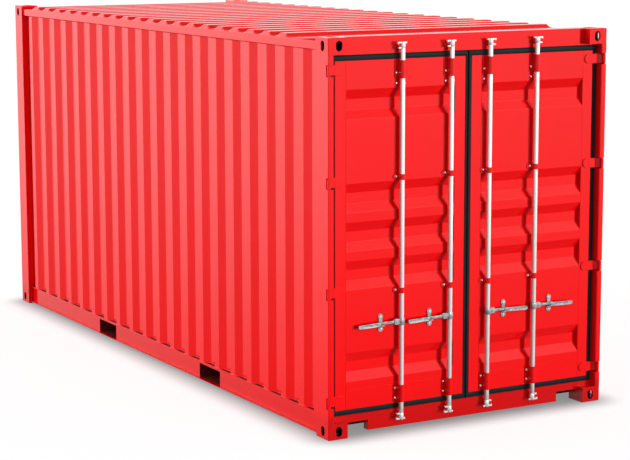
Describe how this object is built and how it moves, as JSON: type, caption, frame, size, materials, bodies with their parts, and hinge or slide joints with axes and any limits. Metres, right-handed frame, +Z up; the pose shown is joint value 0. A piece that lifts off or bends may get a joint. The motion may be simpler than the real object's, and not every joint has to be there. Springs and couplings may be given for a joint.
{
  "type": "shipping container",
  "caption": "Corrugated steel dry freight container with two hinged cargo doors, cam locking bars and lifting handles at one end.",
  "frame": {"origin": "centre of the base, on the plane of the four bottom corner casting faces", "axes": "-Y is the door end, +X is to the right when facing the doors, +Z is up"},
  "size_m": [2.438, 6.058, 2.896],
  "materials": {
    "red_frame": "gloss paint on rolled steel",
    "red_sheet": "gloss paint on pressed sheet",
    "red_castings": "gloss paint on cast steel",
    "red_doors": "gloss paint on pressed sheet",
    "red_fittings": "gloss paint on forged steel",
    "underframe": "matt paint",
    "seal": "moulded EPDM",
    "plywood": "sealed marine plywood",
    "pins": "turned steel",
    "zinc_bars": "bright zinc plated tube",
    "zinc_handles": "hot dip galvanised forging"
  },
  "bodies": {
    "root": {"corner_castings_bottom": "red_castings", "corner_castings_top": "red_castings", "door_header": "red_frame", "door_sill": "red_frame", "rear_top_rail": "red_frame", "rear_bottom_rail": "red_frame", "rear_wall": "red_sheet", "roof": "red_sheet", "floor": "plywood", "floor_cross_members": "underframe", "fork_pockets": "underframe", "cam_keepers_top": "red_fittings", "cam_keepers_bottom": "red_fittings", "door_post_left": "red_frame", "hinge_pins_left": "pins", "rear_post_left": "red_frame", "top_side_rail_left": "red_frame", "bottom_side_rail_left": "red_frame", "side_wall_left": "red_sheet", "door_post_right": "red_frame", "hinge_pins_right": "pins", "rear_post_right": "red_frame", "top_side_rail_right": "red_frame", "bottom_side_rail_right": "red_frame", "side_wall_right": "red_sheet"},
    "door_left": {"door_frame_left": "red_doors", "door_panel_left": "red_doors", "door_seal_left": "seal", "door_hinges_left": "red_fittings", "bar_brackets_left": "red_fittings", "handle_catches_left": "zinc_handles"},
    "door_right": {"door_frame_right": "red_doors", "door_panel_right": "red_doors", "door_seal_right": "seal", "door_hinges_right": "red_fittings", "bar_brackets_right": "red_fittings", "handle_catches_right": "zinc_handles"},
    "bar_outer_left": {"lock_bar_outer_left": "zinc_bars"},
    "handle_outer_left": {"lock_handle_outer_left": "zinc_handles"},
    "bar_inner_left": {"lock_bar_inner_left": "zinc_bars"},
    "handle_inner_left": {"lock_handle_inner_left": "zinc_handles"},
    "bar_outer_right": {"lock_bar_outer_right": "zinc_bars"},
    "handle_outer_right": {"lock_handle_outer_right": "zinc_handles"},
    "bar_inner_right": {"lock_bar_inner_right": "zinc_bars"},
    "handle_inner_right": {"lock_handle_inner_right": "zinc_handles"}
  },
  "joints": [
    {"name": "door_hinge_left", "type": "hinge", "parent": "root", "child": "door_left", "pos_m": [-1.206, -3.016, 1.462], "axis": [0, 0, -1], "range_deg": [0, 267]},
    {"name": "door_hinge_right", "type": "hinge", "parent": "root", "child": "door_right", "pos_m": [1.206, -3.016, 1.462], "axis": [0, 0, 1], "range_deg": [0, 267]},
    {"name": "bar_turn_outer_left", "type": "hinge", "parent": "door_left", "child": "bar_outer_left", "pos_m": [-0.59, -3.006, 1.465], "axis": [0, 0, -1], "range_deg": [-110, 0]},
    {"name": "handle_lift_outer_left", "type": "hinge", "parent": "bar_outer_left", "child": "handle_outer_left", "pos_m": [-0.635, -3.006, 0.815], "axis": [0, 1, 0], "range_deg": [0, 25]},
    {"name": "bar_turn_inner_left", "type": "hinge", "parent": "door_left", "child": "bar_inner_left", "pos_m": [-0.169, -3.006, 1.465], "axis": [0, 0, -1], "range_deg": [-110, 0]},
    {"name": "handle_lift_inner_left", "type": "hinge", "parent": "bar_inner_left", "child": "handle_inner_left", "pos_m": [-0.214, -3.006, 0.815], "axis": [0, 1, 0], "range_deg": [0, 25]},
    {"name": "bar_turn_outer_right", "type": "hinge", "parent": "door_right", "child": "bar_outer_right", "pos_m": [0.59, -3.006, 1.465], "axis": [0, 0, 1], "range_deg": [-110, 0]},
    {"name": "handle_lift_outer_right", "type": "hinge", "parent": "bar_outer_right", "child": "handle_outer_right", "pos_m": [0.635, -3.006, 0.815], "axis": [0, -1, 0], "range_deg": [0, 25]},
    {"name": "bar_turn_inner_right", "type": "hinge", "parent": "door_right", "child": "bar_inner_right", "pos_m": [0.169, -3.006, 1.465], "axis": [0, 0, 1], "range_deg": [-110, 0]},
    {"name": "handle_lift_inner_right", "type": "hinge", "parent": "bar_inner_right", "child": "handle_inner_right", "pos_m": [0.214, -3.006, 0.815], "axis": [0, -1, 0], "range_deg": [0, 25]}
  ]
}
